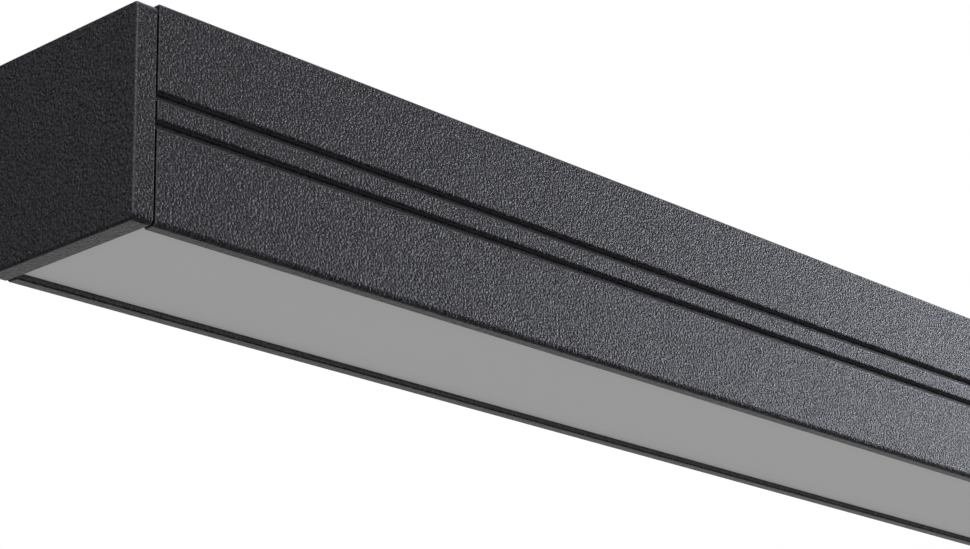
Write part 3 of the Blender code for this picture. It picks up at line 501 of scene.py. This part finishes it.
def dressed(nodeName):
    piece = standIn(nodeName, meshOf(camel(nodeName), nodeShape(nodeName)))
    widths = [width for start, width in softEdgeMm.items() if nodeName.startswith(start)]
    soften(piece, widths[0])
    if slotOf[nodeName] == "textured_black":
        paintEdgeLightAndShade(piece, nodeName == "body")


# Which faces of a coated piece get the copies of the coat with painted light and painted shade
edgeLightAndShadeFaces = {
    "rimMm": 3.0,  # how near a piece's lowest point a rim is
    "narrowMm": 2.0,  # how narrow a face is along the piece
    "flat": 0.995,  # a face that leans further than this off every axis is part of a rounded edge
    "down": -0.1,  # a face whose normal points lower than this faces down
    "end": 0.9,  # a face whose normal lies further along the length than this is a sawn end
}


def paintEdgeLightAndShade(piece, grooved):
    litEdge, shadedEdge, litGroove = 1, 2, 3  # the places of these coats after the broad faces' own
    for coat in litAndShadedEdgeCoats:
        piece.data.materials.append(coat)
    lowest = min(vert.co.z for vert in piece.data.vertices)
    span = max(piece.dimensions)
    for face in piece.data.polygons:
        rounded = max(abs(part) for part in face.normal) < edgeLightAndShadeFaces["flat"]
        onRim = face.center.z < lowest + edgeLightAndShadeFaces["rimMm"] * mm
        narrow = face.area < edgeLightAndShadeFaces["narrowMm"] * mm * span
        facesDown = face.normal.z < edgeLightAndShadeFaces["down"]
        sawn = grooved and abs(face.normal.x) > edgeLightAndShadeFaces["end"]
        # painted highlight on rounded edges that face up or sideways, painted shade on those that face down
        # and on the sawn ends, painted light on groove and rim walls, and on other rims and narrow faces
        if rounded and not facesDown:
            face.material_index = litEdge
        elif rounded or sawn:
            face.material_index = shadedEdge
        elif grooved and (narrow or onRim) and not (onRim and facesDown):
            face.material_index = litGroove
        elif onRim or narrow:
            face.material_index = litEdge
    # the soft bevels get the painted highlight too
    piece.modifiers["softEdges"].material = litEdge


def drawnLead(nodeName):
    # the node's coarse tube, rounded along and around; its cut ends stay square
    shape = nodeShape(nodeName)
    crease = shape.edges.layers.float.new("crease_edge")
    for edge in shape.edges:
        if len(edge.link_faces) == 2 and edge.calc_face_angle() > cutEndAngle:
            edge[crease] = 1
    piece = standIn(nodeName, meshOf(camel(nodeName), shape))
    smooth = piece.modifiers.new("drawn", "SUBSURF")
    smooth.levels = smooth.render_levels = 2


# Turned and carved shapes

def bridge(shape, loops):
    for first, second in zip(loops, loops[1:]):
        for side in range(len(first)):
            shape.faces.new((first[side - 1], first[side], second[side], second[side - 1]))


def turnedShape(profile, steps, ring=False):
    # the profile is (radius, height) in mm about the Z axis; a ring's profile runs on to its own start
    shape = bmesh.new()
    loops = []
    for radius, up in profile:
        loop = []
        for step in range(steps):
            angle = 2 * math.pi * step / steps
            x, y = radius * math.cos(angle), radius * math.sin(angle)
            loop.append(shape.verts.new((x * mm, y * mm, up * mm)))
        loops.append(loop)
    if ring:
        loops.append(loops[0])
    else:
        shape.faces.new(loops[0])
        shape.faces.new(loops[-1])
    bridge(shape, loops)
    bmesh.ops.recalc_face_normals(shape, faces=shape.faces)
    return shape


# the points of each face, by their places in the list of eight
wedgeSides = ((0, 1, 3, 2), (4, 5, 7, 6), (0, 1, 5, 4), (2, 3, 7, 6), (0, 2, 6, 4), (1, 3, 7, 5))


def wedge(points):
    # four points at one height and four at another in the same order, in mm
    shape = bmesh.new()
    corners = [shape.verts.new([value * mm for value in point]) for point in points]
    for side in wedgeSides:
        shape.faces.new([corners[index] for index in side])
    bmesh.ops.recalc_face_normals(shape, faces=shape.faces)
    return shape


def carved(shape, others, operation="DIFFERENCE"):
    whole = bpy.data.objects.new("whole", meshOf("whole", shape))
    scene.collection.objects.link(whole)
    tools = []
    for other in others:
        tool = bpy.data.objects.new("tool", meshOf("tool", other))
        scene.collection.objects.link(tool)
        step = whole.modifiers.new("carve", "BOOLEAN")
        step.object, step.operation, step.solver = tool, operation, "EXACT"
        tools.append(tool)
    bpy.context.view_layer.update()
    mesh = bpy.data.meshes.new_from_object(whole.evaluated_get(bpy.context.evaluated_depsgraph_get()))
    for helper in [whole, *tools]:
        bpy.data.objects.remove(helper)
    shape = bmesh.new()
    shape.from_mesh(mesh)
    bmesh.ops.remove_doubles(shape, verts=shape.verts, dist=weldDistance)
    bmesh.ops.dissolve_degenerate(shape, edges=shape.edges, dist=weldDistance)
    if operation == "DIFFERENCE":  # a cut leaves needless points along straight edges
        bmesh.ops.dissolve_limit(shape, angle_limit=flatAngle, verts=shape.verts, edges=shape.edges)
    shape.to_mesh(mesh)
    shape.free()
    mesh.shade_smooth()
    mesh.set_sharp_from_angle(angle=sharpAngle)
    return mesh


# Screws: pan heads with a cross recess, and a cut thread

panScrew = {
    "head": 2.7, "headHeight": 1.9, "headSides": 40,  # radius and height in mm, as are the other lengths
    "crownEdge": 0.9, "crownSteps": 6, "rim": 0.12,
    "wing": 1.5, "wingWidth": 0.62, "wingFlare": 1.1, "wingFloor": (0.3, 0.6), "recess": 1.15, "above": 0.1,
    "thread": 1.5, "core": 1.2, "pitch": 0.5, "tip": 0.7, "tipShare": 0.6, "inHead": 0.3,
    "sides": 16, "rowsPerTurn": 6,
}


def screwHead(look):
    radius, height, edge, rim = look["head"], look["headHeight"], look["crownEdge"], look["rim"]
    profile = []
    for step in range(look["crownSteps"] + 1):
        angle = math.pi / 2 * step / look["crownSteps"]
        profile.append((radius - edge + edge * math.sin(angle), edge * (math.cos(angle) - 1)))
    profile += [(radius, rim - height), (radius - rim, -height)]
    wing, width, flare, floor = look["wing"], look["wingWidth"] / 2, look["wingFlare"], look["wingFloor"]
    mouthBar = (wing * flare, width * flare, look["above"])
    floorBar = (wing * floor[0], width * floor[1], -look["recess"])
    bars = []
    for turn in (0, 1):
        points = []
        for along, across, up in (mouthBar, floorBar):
            for x in (-along, along):
                for y in (-across, across):
                    points.append((y, x, up) if turn else (x, y, up))
        bars.append(wedge(points))
    return carved(turnedShape(profile, look["headSides"]), bars)


def threadedShank(look, start, end):
    shape = bmesh.new()
    rows = round((start - end) / look["pitch"] * look["rowsPerTurn"])
    loops = []
    for row in range(rows + 1):
        up = start + (end - start) * row / rows
        taper = min(1, look["tipShare"] + (1 - look["tipShare"]) * (up - end) / look["tip"])
        loop = []
        for side in range(look["sides"]):
            turn = side / look["sides"]
            climb = (up / look["pitch"] + turn) % 1
            radius = taper * (look["core"] + (look["thread"] - look["core"]) * (1 - abs(2 * climb - 1)))
            angle = 2 * math.pi * turn
            x, y = radius * math.cos(angle), radius * math.sin(angle)
            loop.append(shape.verts.new((x * mm, y * mm, up * mm)))
        loops.append(loop)
    bridge(shape, loops)
    shape.faces.new(loops[0])
    shape.faces.new(loops[-1])
    bmesh.ops.recalc_face_normals(shape, faces=shape.faces)
    return shape


def crossScrew(nodeName, head):
    low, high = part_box(nodeName)
    length = (high.z - low.z) / mm
    shank = threadedShank(panScrew, panScrew["inHead"] - panScrew["headHeight"], -length)
    shape = bmesh.new()
    shape.from_mesh(head)
    mesh = carved(shape, [shank], "UNION")
    headDown = nodeName.startswith("board")
    top = Vector(((low.x + high.x) / 2, (low.y + high.y) / 2, low.z if headDown else high.z))
    turn = Matrix.Rotation(math.pi if headDown else 0, 4, "X")
    mesh.transform(Matrix.Translation(top) @ turn)
    mesh.name = camel(nodeName)
    standIn(nodeName, mesh)


# Grommet: a turned rubber ring with rounded lips on both faces of the web

grommetLook = {
    "bore": 3.0, "neck": 3.7, "flange": 5.0, "lip": 1.0, "fullness": 0.7,  # radii and lip height in mm
    "steps": 48, "arcSteps": 6,
}


def rubberGrommet(nodeName, look):
    low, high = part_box(nodeName)
    middle = (low + high) / 2
    half = (high.z - low.z) / 2 / mm
    seat = half - look["lip"]
    ring, width = (look["bore"] + look["flange"]) / 2, look["flange"] - look["bore"]
    profile = []
    for side in (1, -1):
        lip = []
        for step in range(look["arcSteps"] + 1):
            angle = math.pi * step / look["arcSteps"]
            across = ring - math.cos(angle) * width / 2
            lip.append((across, side * (seat + look["lip"] * math.sin(angle) ** look["fullness"])))
        lip.append((look["neck"], side * seat))
        profile += lip if side > 0 else lip[::-1]
    shape = turnedShape(profile, look["steps"], ring=True)
    shape.transform(Matrix.Translation(middle))
    standIn(nodeName, meshOf(camel(nodeName), shape))


# Release buttons: the node's plunger with a slot for a screwdriver

buttonSlot = {"width": 0.8, "depth": 0.6, "reach": 4, "above": 1}


def releaseButton(nodeName):
    low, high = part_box(nodeName)
    middle = (low + high) / 2 / mm
    reach, half, top = buttonSlot["reach"], buttonSlot["width"] / 2, high.z / mm
    points = []
    for up in (top - buttonSlot["depth"], top + buttonSlot["above"]):
        for x in (middle.x - half, middle.x + half):
            for y in (middle.y - reach, middle.y + reach):
                points.append((x, y, up))
    piece = standIn(nodeName, carved(nodeShape(nodeName), [wedge(points)]))
    piece.data.name = piece.name
    soften(piece, softEdgeMm["button"])


# LED packages on the boards: a white frame round a phosphor window, and a solder fillet at each end

ledLook = {
    "length": 3.5, "width": 2.8, "height": 0.75, "pitch": 8.0, "endMargin": 14,
    "frameRise": 0.12, "frameWall": 0.42, "frameSlope": 0.12, "frameDraft": 0.05,
    "windowRise": 0.05, "windowEdge": 0.5,
    "solderReach": 0.55, "solderClimb": 0.4, "solderWidth": 2.3, "solderLap": 0.1, "solderToe": 0.03,
    "solderWaist": (0.16, 0.45),  # how far out, and at which share of the climb
}


def ledPlaces(nodeName, look):
    low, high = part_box(nodeName)
    length = (high.x - low.x) / mm
    count = int((length - 2 * look["endMargin"]) / look["pitch"])
    middle = (low.x + high.x) / 2 / mm
    face = low.z / mm
    return [(middle + (index - count / 2) * look["pitch"], face) for index in range(count + 1)]


def rectangle(shape, x, halfLength, halfWidth, up):
    corners = ((-1, -1), (1, -1), (1, 1), (-1, 1))
    return [shape.verts.new(((x + a * halfLength) * mm, b * halfWidth * mm, up * mm)) for a, b in corners]


def ledDetail(nodeName, side, look):
    frames, windows, solder = bmesh.new(), bmesh.new(), bmesh.new()
    half, width = look["length"] / 2, look["width"] / 2
    wall, slope, draft, edge = (look[key] for key in ("frameWall", "frameSlope", "frameDraft", "windowEdge"))
    lap, toe, climb, wide = look["solderLap"], look["solderToe"], look["solderClimb"], look["solderWidth"] / 2
    waist, waistShare = look["solderWaist"]
    for x, face in ledPlaces(nodeName, look):
        loops = [
            rectangle(frames, x, half, width, face),
            rectangle(frames, x, half - draft, width - draft, face - look["frameRise"]),
            rectangle(frames, x, half - wall, width - wall, face - look["frameRise"]),
            rectangle(frames, x, half - wall - slope, width - wall - slope, face),
        ]
        bridge(frames, loops + loops[:1])
        loops = [
            rectangle(windows, x, half - wall - slope / 2, width - wall - slope / 2, face),
            rectangle(windows, x, half - wall - slope, width - wall - slope, face - look["windowRise"] / 2),
            rectangle(windows, x, half - wall - edge, width - wall - edge, face - look["windowRise"]),
        ]
        bridge(windows, loops)
        windows.faces.new(loops[0])
        windows.faces.new(loops[-1])
        board = face + look["height"]
        for end in (-1, 1):
            near, far = x + end * (half - lap), x + end * (half + look["solderReach"])
            profile = [
                (near, board + lap), (far, board + lap), (far, board - toe),
                (x + end * (half + waist), board - climb * waistShare), (near, board - climb),
            ]
            loops = []
            for y in (-wide, wide):
                loops.append([solder.verts.new((a * mm, y * mm, up * mm)) for a, up in profile])
            bridge(solder, loops)
            for loop in loops:
                solder.faces.new(loop)
    for name, shape, slot, finish in (
        ("ledFrames", frames, "white_board", package),
        ("ledWindows", windows, "white_board", phosphor),
        ("solderFillets", solder, "tinned_copper", finishes["tinned_copper"]),
    ):
        bmesh.ops.recalc_face_normals(shape, faces=shape.faces)
        mesh = meshOf(name + side, shape)
        mesh.set_sharp_from_angle(angle=sharpAngle)
        newPiece(name + side, mesh, bodyOf[nodeName], slot, finish)


# Driver cover: pressed ribs that stiffen the thin sheet

ribLook = {
    "length": 16, "width": 3.0, "rise": 0.4, "sink": 0.02, "pitch": 24, "row": 5.6,
    "sides": 28, "rings": 5, "crown": 0.94,  # the share of a quarter turn where the flat crown begins
}


def pressedRibs(nodeName, look):
    low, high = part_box(nodeName)
    middle = (low + high) / 2
    count = int(((high.x - low.x) / mm - look["length"]) / look["pitch"])
    shape = bmesh.new()
    for index in range(count + 1):
        x = middle.x + (index - count / 2) * look["pitch"] * mm
        for row in (-1, 1):
            centre = Vector((x, row * look["row"] * mm, high.z))
            loops = []
            for ring in range(look["rings"] + 1):
                angle = math.pi / 2 * ring / look["rings"] * look["crown"]
                loop = []
                for side in range(look["sides"]):
                    turn = 2 * math.pi * side / look["sides"]
                    straight = math.copysign((look["length"] - look["width"]) / 2, math.cos(turn))
                    radius = look["width"] / 2 * math.cos(angle)
                    loop.append(shape.verts.new(centre + mm * Vector((
                        straight + radius * math.cos(turn), radius * math.sin(turn),
                        look["rise"] * math.sin(angle) - look["sink"],
                    ))))
                loops.append(loop)
            bridge(shape, loops)
            shape.faces.new(loops[0])
            shape.faces.new(loops[-1])
    bmesh.ops.recalc_face_normals(shape, faces=shape.faces)
    slot = slotOf[nodeName]
    newPiece("coverRibs", meshOf("coverRibs", shape), bodyOf[nodeName], slot, finishes[slot])


head = screwHead(panScrew)
for nodeName in nodes:
    if nodeName.endswith("_screw") or "_screw_" in nodeName:
        crossScrew(nodeName, head)
    elif nodeName.endswith(("_lead", "_plus", "_minus")):
        drawnLead(nodeName)
    elif nodeName.startswith("button_"):
        releaseButton(nodeName)
    elif nodeName == "web_grommet":
        rubberGrommet(nodeName, grommetLook)
    else:
        dressed(nodeName)
bpy.data.meshes.remove(head)
ledDetail("led_board_left", "Left", ledLook)
ledDetail("led_board_right", "Right", ledLook)
pressedRibs("driver_cover", ribLook)
print("pieces:", len(nodes), "in place of nodes")


# Stage: a pale floor far below, soft lamps, and two cards that hold light off the end and the near side

stage = {
    "floorBelow": 2.4,  # m
    "floorSize": 80,  # m
    "floorColours": ("#e6e6e5", "#e9e9e8"),
    "patchMm": 900,
    "dayLevel": 0.55,
}


def flatSheet(name, wide, tall, material):
    corners = [(x * wide / 2, y * tall / 2, 0) for x, y in ((-1, -1), (1, -1), (1, 1), (-1, 1))]
    mesh = bpy.data.meshes.new(name)
    mesh.from_pydata(corners, [], [(0, 1, 2, 3)])
    mesh.materials.append(material)
    sheet = bpy.data.objects.new(name, mesh)
    scene.collection.objects.link(sheet)
    return sheet


def aimed(look):
    spot = Vector(look["from"])
    aim = (Vector(look["to"]) - spot).to_track_quat("-Z", "Y")
    return Matrix.Translation(spot) @ aim.to_matrix().to_4x4()


def addFloor(look):
    material, tree = newMaterial("paleFloor")
    place = addNode(tree, "ShaderNodeTexCoord").outputs["Object"]
    patch = addNode(tree, "ShaderNodeTexNoise", {
        "Scale": perMetre(look["patchMm"]), "Detail": 3,
    }, {"Vector": place})
    colour = addNode(tree, "ShaderNodeValToRGB", links={"Fac": patch.outputs["Fac"]})
    colour.color_ramp.elements[0].color = linear(look["floorColours"][0])
    colour.color_ramp.elements[1].color = linear(look["floorColours"][1])
    addNode(tree, "ShaderNodeBsdfPrincipled", {"Roughness": 0.9, "Specular IOR Level": 0.1},
            {"Base Color": colour.outputs["Color"]})
    floor = flatSheet("paleFloor", look["floorSize"], look["floorSize"], material)
    floor.location = (0, 0, -look["floorBelow"])


def addDaylight(look):
    world = bpy.data.worlds.new("paleRoom")
    world.use_nodes = True
    scene.world = world
    tree = world.node_tree
    rays = addNode(tree, "ShaderNodeLightPath")
    seen = addNode(tree, "ShaderNodeMath", {"operation": "MAXIMUM"},
                   {0: rays.outputs["Is Camera Ray"], 1: rays.outputs["Is Glossy Ray"]})
    seen = addNode(tree, "ShaderNodeMath", {"operation": "MAXIMUM"},
                   {0: seen.outputs["Value"], 1: rays.outputs["Is Transmission Ray"]})
    level = addNode(tree, "ShaderNodeMapRange", {"To Min": look["dayLevel"], "To Max": 1},
                    {"Value": seen.outputs["Value"]})
    tree.links.new(level.outputs["Result"], tree.nodes["Background"].inputs["Strength"])
    tree.nodes["Background"].inputs["Color"].default_value = (1, 1, 1, 1)


felt = {"napMm": 2, "roughness": (0.9, 1)}
cards = {
    "greyEndCard": {
        "from": (-0.53, 0.30, 0.14), "to": (-0.3, 0, -0.02), "size": (0.7, 0.7), "colour": "#5a5a5a",
    },
    "blackFrontCard": {
        "from": (0.31, -0.68, 0.32), "to": (-0.22, 0, -0.02), "size": (1.0, 0.9), "colour": "#161616",
    },
}


def addCard(name, look):
    material, tree = newMaterial(name + "Felt")
    place = addNode(tree, "ShaderNodeTexCoord").outputs["Object"]
    nap = addNode(tree, "ShaderNodeTexNoise", {
        "Scale": perMetre(felt["napMm"]), "Detail": 2,
    }, {"Vector": place})
    rough = addNode(tree, "ShaderNodeMapRange", {
        "To Min": felt["roughness"][0], "To Max": felt["roughness"][1],
    }, {"Value": nap.outputs["Fac"]})
    addNode(tree, "ShaderNodeBsdfPrincipled", {
        "Base Color": linear(look["colour"]), "Specular IOR Level": 0.1,
    }, {"Roughness": rough.outputs["Result"]})
    card = flatSheet(name, *look["size"], material)
    card.matrix_world = aimed(look)
    card.visible_camera = False


softboxes = {
    "rightSoftbox": {
        "from": (0.96, -0.495, 0.232), "to": (-0.12, -0.018, -0.018), "size": (0.5, 0.5), "watts": 10.8,
        "colour": "#edf2ff",
    },
    "nearSoftbox": {
        "from": (0.32, -0.22, 0.08), "to": (0, 0, -0.02), "size": (0.18, 0.18), "watts": 0.8,
        "colour": "#edf2ff",
    },
    "edgeLamp": {
        "from": (-0.80, -0.22, 0.62), "to": (-0.3, 0, -0.02), "size": (0.1, 0.1), "watts": 4.6,
        "colour": "#ffffff",
    },
}


def addSoftbox(name, lamp):
    data = bpy.data.lights.new(name, "AREA")
    data.shape = "RECTANGLE"
    data.size, data.size_y = lamp["size"]
    data.energy = lamp["watts"]
    data.color = linear(lamp["colour"])[:3]
    light = bpy.data.objects.new(name, data)
    light.matrix_world = aimed(lamp)
    light.visible_camera = False
    scene.collection.objects.link(light)


addFloor(stage)
addDaylight(stage)
for name, card in cards.items():
    addCard(name, card)
for name, lamp in softboxes.items():
    addSoftbox(name, lamp)
print("stage ready")
